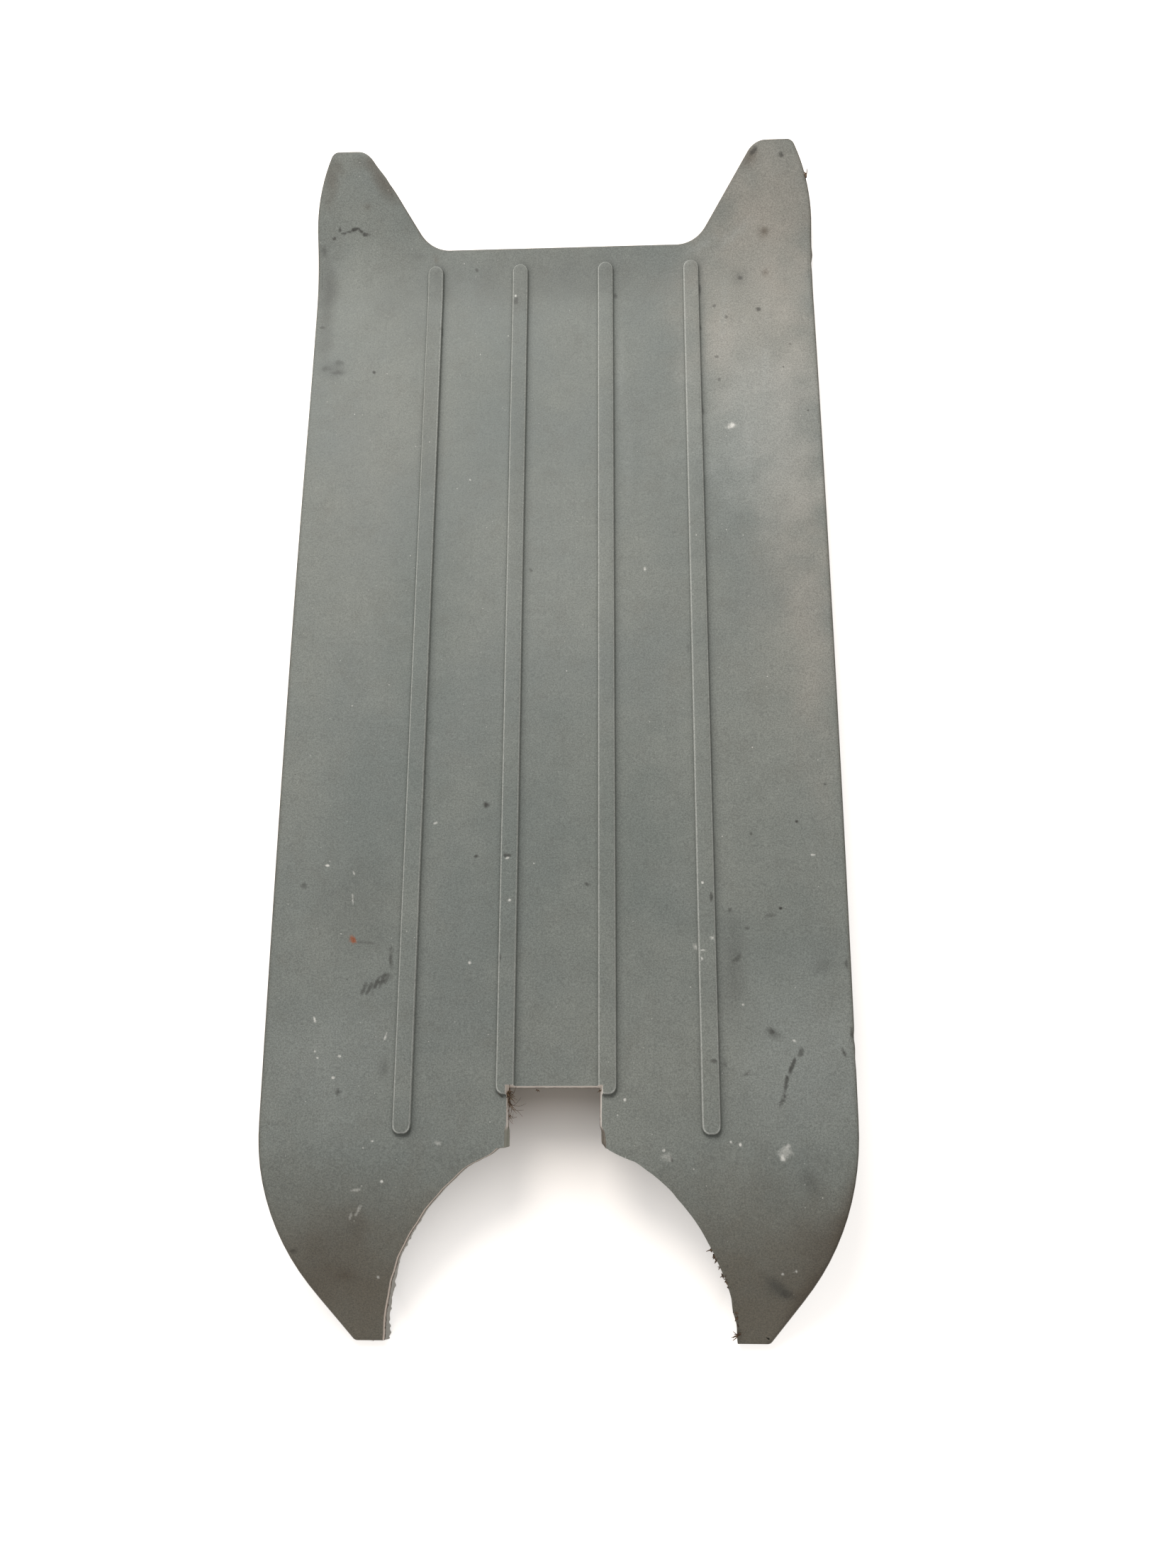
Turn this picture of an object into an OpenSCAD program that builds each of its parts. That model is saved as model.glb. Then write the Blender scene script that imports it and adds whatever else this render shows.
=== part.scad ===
// Moulded rubber mat for the footboard of a moped.
// One sheet of rubber with four raised ribs on its flat middle. The nose bends up and ends in two
// horns beside a wide gap. The tail bends down and was cut by hand: a round bay with a notch in it.
// The mat lies on its belly line and its two tail tips, as it comes to rest on a level surface.

/* [Sheet] */
// Thickness of the rubber sheet
sheet_t = 3.5; // [3:0.1:5]
// Rounding of the moulded edges
edge_r = 1; // [0.5:0.1:1.3]
// Width of the mat across the middle of its long sides
mat_w = 256.4; // [235:0.1:280]
// How far the long sides bulge outwards between their ends
side_bow = 1; // [0.2:0.1:2]
// Length of the flat middle, from the tail bend to the nose bend
flat_len = 410; // [380:1:440]

/* [Ribs] */
// Height of the ribs above the sheet
rib_h = 1.8; // [1:0.1:2.5]
// Width of a rib
rib_w = 7.8; // [6:0.1:10]
// Distance between the centre lines of neighbouring ribs
rib_pitch = 43.7; // [38:0.1:48]
// Distance from the front edge back to the rounded rib ends
rib_front_gap = 9; // [4:0.5:20]
// Distance from the tail bend forward to the tail ends of the inner ribs
inner_rib_back = 18.3; // [14:0.1:30]
// Distance from the tail bend forward to the tail ends of the outer ribs
outer_rib_back = 2; // [0:0.1:12]
// Corner radius at the tail ends of the ribs
rib_corner_r = 2.6; // [2:0.1:2.9]
// Rounding of the ribs' top edges
rib_edge_r = 0.9; // [0.4:0.1:1]

/* [Nose] */
// Angle of the nose above the flat middle
nose_angle = 24; // [10:1:30]
// Radius of the nose bend, on the top face
nose_bend_r = 100; // [80:1:140]
// Distance from the nose bend to the front edge between the horns
front_run = 30.2; // [20:0.1:40]
// Distance from the front edge to the ends of the horns
horn_len = 45.2; // [35:0.1:55]
// Width of the gap between the horns, at the front edge
gap_w = 135.6; // [120:0.1:150]
// Angle between the inner flank of a horn and the front edge
gap_flank_angle = 56.5; // [50:0.5:70]
// Radius in the two inner corners of the gap
gap_corner_r = 18; // [8:0.5:24]
// Radius of the long curve on the outside of a horn
horn_side_r = 76; // [50:1:120]
// Length of that curve along the mat, up to the outer corner of the horn's end
horn_rise = 34; // [26:0.5:40]
// Radius at the inner corner of a horn's end
horn_inner_r = 11; // [6:0.5:14]
// Radius at the outer corner of a horn's end
horn_outer_r = 4.5; // [2:0.5:6]

/* [Tail] */
// Angle of the tail below the flat middle
tail_angle = 32; // [15:1:36]
// Radius of the tail bend, on the top face
tail_bend_r = 110; // [80:1:140]
// Distance from the tail bend to the ends of the tail tips
tail_run = 84.6; // [70:0.1:95]
// Radius of the long curve on the outside of the tail
tail_side_r = 125; // [80:1:160]
// Angle through which that curve turns towards the tips
tail_side_angle = 36; // [28:0.5:42]
// Distance from the tail bend forward to where the tail's side curve starts
tail_side_lead = 7.8; // [0:0.1:20]
// Radius at the outer corner of a tail tip
tip_corner_r = 2.5; // [1.5:0.1:5]

/* [Cut bay] */
// Half width of the oval bay, measured at its widest
bay_half_w = 77; // [70:0.5:82]
// Half length of the oval bay, from its widest line to its crown
bay_half_l = 94; // [88:0.5:100]
// Distance from the tail bend to the crown of the bay
bay_crown = 0.9; // [0.5:0.1:8]
// Lean of the knife that cut the bay, away from square to the sheet
bay_lean = 16; // [0:1:25]
// Width of the notch at the crown of the bay, on the top face
notch_w = 40.7; // [30:0.1:44]
// Distance of the notch's middle from the middle of the mat, to the left
notch_off = 0.8; // [0:0.1:2]
// Lean of the knife on the three walls of the notch, which makes it narrower below
notch_lean = 15; // [0:1:25]
// Distance from the tail bend forward to the end of the notch
notch_depth = 21.9; // [16:0.1:30]

/* [Hidden] */

rubber = [0.47, 0.48, 0.455];
rib_count = 4;
rib_span = rib_pitch * (rib_count - 1) / 2;

half_w = mat_w / 2;
end_half_w = half_w - side_bow;
front_y = flat_len + front_run;
horn_y = front_y + horn_len;
over = 20;
arc_step = 6;
bend_step = 3;
rib_root = 0.6;
cut_past = 3;
corner_turn = 45;

// Points along an arc, from angle a0 to angle a1
function arc(centre, r, a0, a1, step = arc_step) =
    let (n = max(2, ceil(abs(a1 - a0) / step)))
    [for (i = [0:n]) let (a = a0 + (a1 - a0) * i / n) centre + r * [cos(a), sin(a)]];

// Side view: a line parallel to the sheet, h above its underside, from tail to nose
tail_under_r = tail_bend_r - sheet_t;
nose_under_r = nose_bend_r + sheet_t;
tail_slope = [cos(tail_angle), sin(tail_angle)];
nose_slope = [cos(nose_angle), sin(nose_angle)];

function side_line(h) =
    let (
        tail = arc([0, -tail_under_r], tail_under_r + h, 90 + tail_angle, 90, bend_step),
        nose = arc([flat_len, nose_under_r], nose_under_r - h, -90, nose_angle - 90, bend_step),
        reach = mat_w
    )
    concat([tail[0] - reach * tail_slope], tail, nose, [nose[len(nose) - 1] + reach * nose_slope]);

// Height of that line at one place along the mat
function bent_z(y, h) =
    let (
        tail_r = tail_under_r + h,
        nose_r = nose_under_r - h,
        tail_end = tail_r * sin(tail_angle),
        nose_end = nose_r * sin(nose_angle),
        back = -y,
        ahead = y - flat_len
    )
    back > tail_end ? tail_r * cos(tail_angle) - tail_under_r - (back - tail_end) * tan(tail_angle)
    : back > 0 ? sqrt(tail_r ^ 2 - back ^ 2) - tail_under_r
    : ahead < 0 ? h
    : ahead < nose_end ? nose_under_r - sqrt(nose_r ^ 2 - ahead ^ 2)
    : nose_under_r - nose_r * cos(nose_angle) + (ahead - nose_end) * tan(nose_angle);

// A layer of the sheet between two heights, as wide as the mat
module layer(h0, h1) {
    upper = side_line(h1);
    lower = side_line(h0);
    backwards = [for (i = [len(lower) - 1:-1:0]) lower[i]];
    rotate([90, 0, 90])
        linear_extrude(mat_w + over, center = true)
            polygon(concat(upper, backwards));
}

// Solid with its walls on a stack of rings. A ring is [shape value, height above the underside]:
// outline turns the shape value into points, and the height follows the bends of the sheet.
// The walls run on straight up and down from the last rings to flat ends beyond the mat.
module skin(outline, rings) {
    loops = [for (ring = rings) outline(ring[0])];
    last = len(rings) - 1;
    n = len(loops[0]);
    points = concat(
        [for (p = loops[0]) [p.x, p.y, -mat_w]],
        [for (j = [0:last], p = loops[j]) [p.x, p.y, bent_z(p.y, rings[j][1])]],
        [for (p = loops[last]) [p.x, p.y, mat_w]]
    );
    sides = [
        for (j = [0:last + 1], i = [0:n - 1])
            let (low = j * n, high = low + n, next = (i + 1) % n)
            each [
                [high + next, high + i, low + i],
                [high + next, low + i, low + next]
            ]
    ];
    top = [for (i = [0:n - 1]) (last + 2) * n + i];
    bottom = [for (i = [n - 1:-1:0]) i];
    polyhedron(points, concat(sides, [top, bottom]));
}

// How far the middle of a rounded edge lies inside the sharp corner's two faces
function turned_in(r) = r * (1 - cos(corner_turn));

// Rings for a wall from height h0 to h1 with both edges rounded over by r
function rounded_rings(h0, h1, r) =
    let (
        turn = turned_in(r),
        past = 2 * r - turn,
        edge = [[past, -turn], [turn, turn], [0, r]]
    )
    concat(
        [for (e = edge) [e[0], h0 + e[1]]],
        [for (i = [2:-1:0]) [edge[i][0], h1 - edge[i][1]]]
    );

// A piece of the moulding: a plan outline, bent and rounded over like the sheet
module moulded(outline, h0, h1, r) {
    intersection() {
        layer(h0, h1);
        skin(outline, rounded_rings(h0, h1, r));
    }
}

// Plan view of one side of the mat, drawn inset by s from the moulded edge.
// Each corner is a centre that stays put while its radius shrinks or grows with the inset.
tail_curve_c = [end_half_w - tail_side_r, tail_side_lead];
tail_side_end = tail_curve_c + tail_side_r * [cos(tail_side_angle), -sin(tail_side_angle)];
tip_x = tail_side_end.x - (tail_side_end.y + tail_run) * tan(tail_side_angle);
tip_c = [tip_x - tip_corner_r * tan((90 - tail_side_angle) / 2), tip_corner_r - tail_run];

// The outside curve of a horn ends where it meets the rounded outer corner
horn_side_y = horn_y - horn_outer_r - horn_rise;
horn_side_a = asin(horn_rise / (horn_side_r - horn_outer_r));
horn_side_c = [end_half_w - horn_side_r, horn_side_y];
horn_outer_c = horn_side_c + (horn_side_r - horn_outer_r) * [cos(horn_side_a), sin(horn_side_a)];

// The long side is a very flat arc between the curve of the horn and the curve of the tail
side_half_l = (horn_side_y - tail_side_lead) / 2;
side_r = (side_half_l ^ 2 + side_bow ^ 2) / (2 * side_bow);
side_a = asin(side_half_l / side_r);
side_c = [half_w - side_r, horn_side_y - side_half_l];
side_steps = 8;

gap_half = gap_w / 2;
gap_corner_c = [gap_half - gap_corner_r * tan(gap_flank_angle / 2), front_y + gap_corner_r];
horn_inner_c = [
    gap_half + (horn_len - horn_inner_r) / tan(gap_flank_angle) + horn_inner_r / sin(gap_flank_angle),
    horn_y - horn_inner_r
];

function half_plan(s) = concat(
    [[0, front_y - s]],
    arc(gap_corner_c, gap_corner_r + s, -90, gap_flank_angle - 90),
    arc(horn_inner_c, horn_inner_r - s, gap_flank_angle + 90, 90),
    arc(horn_outer_c, horn_outer_r - s, 90, horn_side_a),
    arc(horn_side_c, horn_side_r - s, horn_side_a, 0),
    [for (i = [1:side_steps - 1])
        let (a = side_a * (1 - 2 * i / side_steps)) side_c + (side_r - s) * [cos(a), sin(a)]],
    arc(tail_curve_c, tail_side_r - s, 0, -tail_side_angle),
    arc(tip_c, tip_corner_r - s, -tail_side_angle, -90),
    [[0, -tail_run + s]]
);

function mat_plan(s) =
    let (right = half_plan(s))
    concat(right, [for (i = [len(right) - 2:-1:1]) [-right[i].x, right[i].y]]);

// Plan view of a rib, inset by s: a round front end and two rounded corners at the tail end
function rib_plan(x, back, s) =
    let (
        front_c = [x, front_y - rib_front_gap - rib_w / 2],
        corner_x = rib_w / 2 - rib_corner_r,
        corner_y = back + rib_corner_r
    )
    concat(
        arc(front_c, rib_w / 2 - s, 180, 0),
        arc([x + corner_x, corner_y], rib_corner_r - s, 0, -90),
        arc([x - corner_x, corner_y], rib_corner_r - s, -90, -180)
    );

module sheet() {
    moulded(function (s) mat_plan(s), 0, sheet_t, edge_r);
}

module rib(x, back) {
    moulded(function (s) rib_plan(x, back, s), rib_root, sheet_t + rib_h, rib_edge_r);
}

module moulding() {
    sheet();
    for (i = [0:rib_count - 1])
        rib(i * rib_pitch - rib_span, i == 0 || i == rib_count - 1 ? outer_rib_back : inner_rib_back);
}

// The bay and its notch, cut after moulding, so their edges are sharp.
// The knife leaned sideways, so the bay's outline moves along X with the depth of the cut.
bay_centre_y = -bay_crown - bay_half_l;

function bay_plan(shift) =
    concat(
        [for (a = [180:-arc_step / 2:0]) [shift + bay_half_w * cos(a), bay_centre_y + bay_half_l * sin(a)]],
        [[shift + bay_half_w, -tail_run - over], [shift - bay_half_w, -tail_run - over]]
    );

// Plan view of the notch, inset by s on its three cut walls
function notch_plan(s) =
    let (left = s - notch_off - notch_w / 2, right = notch_w / 2 - notch_off - s)
    [
        [left, -bay_crown - over], [left, notch_depth - s],
        [right, notch_depth - s], [right, -bay_crown - over]
    ];

// Rings for a knife that leans away from square and is at its mark on the top face
function leaning_rings(lean) = [for (h = [-cut_past, sheet_t + cut_past]) [(sheet_t - h) * tan(lean), h]];

module bay_cut() {
    skin(function (shift) bay_plan(shift), leaning_rings(bay_lean));
    skin(function (s) notch_plan(s), leaning_rings(notch_lean));
}

// Rest pose: the mat pitches until its belly and its tail tips touch the ground together.
// The belly touches as a circle does, and a tip touches at the middle of its lower rounding.
tip_y = turned_in(edge_r) - tail_run;
tip_z = bent_z(tip_y, turned_in(edge_r));
belly_dy = flat_len - tip_y;
belly_dz = nose_under_r - tip_z;
pitch = atan2(belly_dz, belly_dy) - asin(nose_under_r / norm([belly_dy, belly_dz]));
rest_z = tip_y * sin(pitch) - tip_z * cos(pitch);
rear_end = -tail_run * cos(pitch) + bent_z(-tail_run, edge_r) * sin(pitch);
front_end = horn_y * cos(pitch) + bent_z(horn_y, sheet_t - edge_r) * sin(pitch);

module footboard_mat() {
    color(rubber)
        translate([0, -(rear_end + front_end) / 2, rest_z])
            rotate([-pitch, 0, 0])
                difference() {
                    moulding();
                    bay_cut();
                }
}

footboard_mat();
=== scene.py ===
"""Looks of the moped footboard mat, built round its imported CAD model.

The mat is rebuilt as one fine mesh with soft moulded edges, ribs with fillets and a hand-cut bay.
Lengths are in millimetres until a mesh is placed, in the frame of the flat middle:
X across, Y from the tail bend towards the nose, height above the underside of the sheet.
"""

import math

import bpy
import numpy as np
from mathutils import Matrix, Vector, kdtree, noise
from mathutils.geometry import delaunay_2d_cdt


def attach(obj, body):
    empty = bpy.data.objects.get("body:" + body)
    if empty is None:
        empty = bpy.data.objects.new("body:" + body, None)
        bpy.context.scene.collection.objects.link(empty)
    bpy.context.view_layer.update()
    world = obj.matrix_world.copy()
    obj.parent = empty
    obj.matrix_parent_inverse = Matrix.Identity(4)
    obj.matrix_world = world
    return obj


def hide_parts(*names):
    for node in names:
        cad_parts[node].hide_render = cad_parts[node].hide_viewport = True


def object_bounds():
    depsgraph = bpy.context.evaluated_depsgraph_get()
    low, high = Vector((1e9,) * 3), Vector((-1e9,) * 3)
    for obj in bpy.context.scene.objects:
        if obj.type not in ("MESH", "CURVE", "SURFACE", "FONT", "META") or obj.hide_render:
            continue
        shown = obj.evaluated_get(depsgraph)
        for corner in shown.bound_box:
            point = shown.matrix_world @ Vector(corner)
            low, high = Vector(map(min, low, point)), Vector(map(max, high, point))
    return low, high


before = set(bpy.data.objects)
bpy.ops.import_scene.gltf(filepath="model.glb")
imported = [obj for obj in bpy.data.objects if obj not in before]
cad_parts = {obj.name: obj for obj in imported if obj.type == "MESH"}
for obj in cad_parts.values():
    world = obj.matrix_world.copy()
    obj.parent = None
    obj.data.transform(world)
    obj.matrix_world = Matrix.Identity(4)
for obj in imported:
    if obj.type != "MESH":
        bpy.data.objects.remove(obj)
cad_low, cad_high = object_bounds()

MM = 0.001

# Sheet
SHEET_T = 3.5
EDGE_R = 1.0
HALF_W = 128.2
SIDE_BOW = 1.0
END_HALF_W = HALF_W - SIDE_BOW
FLAT_LEN = 410.0

# Ribs
RIB_H = 1.8
RIB_W = 7.8
RIB_PITCH = 43.7
RIB_COUNT = 4
RIB_FRONT_GAP = 9.0
INNER_RIB_BACK = 18.3
OUTER_RIB_BACK = 2.0
RIB_CORNER_R = 2.6
RIB_EDGE_R = 0.9
RIB_DRAFT = 0.1
RIB_FOOT_R = 0.8

# Nose and horns
NOSE_ANGLE = math.radians(24)
NOSE_BEND_R = 100.0
FRONT_Y = FLAT_LEN + 30.2
HORN_LEN = 45.2
HORN_Y = FRONT_Y + HORN_LEN
GAP_HALF = 67.8
GAP_FLANK = 56.5
GAP_CORNER_R = 18.0
HORN_SIDE_R = 76.0
HORN_RISE = 34.0
HORN_INNER_R = 11.0
HORN_OUTER_R = 4.5

# Tail
TAIL_ANGLE = math.radians(32)
TAIL_BEND_R = 110.0
TAIL_RUN = 84.6
TAIL_SIDE_R = 125.0
TAIL_SIDE = 36.0
TAIL_SIDE_LEAD = 7.8
TIP_CORNER_R = 2.5
TAIL_DRIFT = 0.9

# Hand-cut bay and notch
BAY_HALF_W = 77.0
BAY_HALF_L = 94.0
BAY_CROWN = 0.9
BAY_LEAN = math.tan(math.radians(16))
NOTCH_HALF = 20.35
NOTCH_OFF = 0.8
NOTCH_DEPTH = 21.9
NOTCH_LEAN = math.tan(math.radians(15))
MOUTH_START = (-9.0, -6.0)
MOUTH_END = (3.0, 6.0)

# Wandering of the knife. Pairs are left and right values, spans are plan y from full effect to none
KNIFE_SEED = 7
KINK_COUNT = 60
KINK_REACH = 0.35
CROWN_SHOULDER = 0.5
NOTCH_SHOULDERS = (1.2, 0.5)
CORNER_RISE = (1.6, 0.5)
TORN_SPAN = (-62.0, -28.0)
TORN_TOP = 1.3
LEDGE_SPAN = (-64.0, -46.0)
KNIFE_LEVELS = (-3.0, -0.6, 0.0, 0.35, 0.75, 1.2, 1.9, 2.6, 3.1, 3.5, 3.9, 7.5)
FAR_Z = 200.0
FAR_GAP = 99.0

# Unevenness of the outline, each (plan x, plan y, shift x, shift y, reach)
DENTS = (
    (-96.5, 479.5, -1.2, -0.5, 7), (-128, 370, 0.45, 0, 70), (-88.5, 470.6, -0.45, 0.25, 2.2),
    (127.6, 433, 0.45, 0, 2.5), (127.0, 429, -0.3, 0, 3), (-86, 463, 0.3, -0.2, 2.5),
    (127.2, 42, -0.35, 0, 2.5), (126, 33, -0.25, 0, 3),
)

# Rest pose: slope of the flat middle, height of its rear edge and its shift along Y
PITCH = math.radians(3.82198)
REST_Z = 27.5595
MID_Y = 199.751

# Mesh steps
ARC_STEP = 3.0
LINE_STEP = 2.0
TOP_STEP = 3.0
UNDER_STEP = 5.0
RIB_STEP = 1.9
FOOT_RINGS = (3.2, 1.7, 0.7)
CUT_STEP = 0.7
OVER = 20.0
FINE_GAP = 0.25
MARK_STEPS = (0.33, 0.8)
MARK_REACH = 1.5
SHARP_EDGE = math.radians(38)
BOX_SKIN = 0.0001  # metres that the loose fibres keep from the faces of the CAD box

# Borders of stains and of small marks: how far they wander, how soft they are, and the size of the blotches
MARK_SPREAD = 1.3
STAIN_EDGE = (0.24, 0.97)
MARK_EDGE = (0.45, 0.7)
STAIN_BLOTCH = 14.0
MARK_BLOTCH = 1.7

TAIL_UNDER_R = TAIL_BEND_R - SHEET_T
NOSE_UNDER_R = NOSE_BEND_R + SHEET_T


# ---------------------------------------------------------------- dirt, wear and dust on the top

def srgb(r, g, b):
    """Colour of a shader socket, from 8-bit display values."""
    shares = [c / 255 for c in (r, g, b)]
    return (*(c / 12.92 if c < 0.0404 else ((c + 0.055) / 1.055) ** 2.4 for c in shares), 1.0)


DIRT = srgb(52, 49, 43)
SOOT = srgb(84, 84, 78)
DUST = srgb(226, 223, 214)
BEIGE = srgb(184, 173, 160)
BROWN = srgb(86, 72, 56)
RUST = srgb(150, 88, 58)
COOL = srgb(104, 112, 106)
PALE = srgb(176, 179, 174)

# Marks on the top as the photo shows them, grouped by colour. Each is (centre x, y, half size x, y, turn in
# degrees, strength) on the mat at rest. Small marks also get a finer mesh.
STAINS = [
    (BEIGE, (
        (97, 200, 42, 78, 8, 0.34), (111, 118, 22, 66, 0, 0.24), (108, 256, 32, 46, 10, 0.4),
        (80, 180, 9, 44, 0, 0.24), (119, 30, 14, 90, 0, 0.26), (-96, 120, 40, 76, 0, 0.05),
        (114, 200, 12, 44, 0, 0.18), (106, 40, 24, 70, 0, 0.12),
    )),
    (PALE, (
        (96, 140, 38, 62, 0, 0.34), (-100, -170, 36, 32, 0, 0.16), (102, -165, 34, 44, 0, 0.26),
        (71, 239, 10, 2, 25, 0.3), (87, 243, 13, 2.2, 38, 0.26), (29, 168, 1.8, 22, 0, 0.22),
        (33, 120, 1.6, 30, 0, 0.14), (82, 205, 1.6, 26, -4, 0.2), (102, 176, 1.8, 30, -3, 0.2),
        (92, 120, 1.5, 26, 0, 0.18), (0, 60, 40, 60, 0, 0.06),
    )),
    (COOL, (
        (0, -70, 78, 78, 0, 0.34), (88, 214, 12, 22, -20, 0.14), (-66, 30, 22, 90, 0, 0.34),
        (36, -72, 22, 60, 0, 0.26), (-30, 150, 30, 50, 0, 0.22), (-86, -70, 26, 60, 0, 0.25),
        (96, -120, 24, 70, 0, 0.2),
    )),
    (SOOT, (
        (0, 222, 74, 20, 0, 0.3), (-75, 214, 26, 30, 0, 0.2), (-122, 226, 6, 22, 0, 0.6),
        (-122, 200, 5, 30, 0, 0.35), (-116, 174, 7, 6, 0, 0.4), (-116.2, 237, 3, 5, 30, 0.35),
        (-74, 237, 5, 3, 0, 0.35), (-66, 150, 6, 90, 0, 0.2), (-22, 130, 5, 110, 0, 0.16),
        (90, 222, 5, 6, 0, 0.3), (106, -217, 4, 8, 20, 0.4), (-90, -100, 22, 26, 0, 0.22),
        (77, -128, 6, 30, 0, 0.35), (-74.4, -170, 2.5, 6, 0, 0.45), (93, -260.4, 9.5, 3.4, -38, 0.55),
        (90, -262, 7, 4, -20, 0.25), (116, -127, 6, 3, 30, 0.35), (93, -156, 5, 2.4, -30, 0.45),
    )),
    (BROWN, (
        (112, -246, 17, 22, -20, 0.42), (121, -230, 5, 24, -18, 0.55), (106, -262, 5, 22, -33, 0.5),
        (-97, -250, 24, 22, 25, 0.3), (-110, -258, 5, 26, 32, 0.35), (-119, 272, 4, 14, -12, 0.4),
        (-91, 270, 4, 13, 33, 0.6), (-96, 281, 14, 3, 0, 0.35), (-65.3, 235.5, 1.6, 3.2, 0, 0.5),
        (95, 278, 4, 6, -30, 0.5), (-100.5, 261, 3.4, 2.6, 0, 0.35), (-113, 279.5, 1.6, 3.5, 0, 0.5),
        (103, 244.4, 2.9, 2.9, 0, 0.75), (103.7, 223.6, 2.6, 2.2, 0, 0.5), (-84, -233, 6, 9, 0, 0.25),
        (-89.9, -256.3, 5, 3, 15, 0.4),
    )),
]
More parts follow.
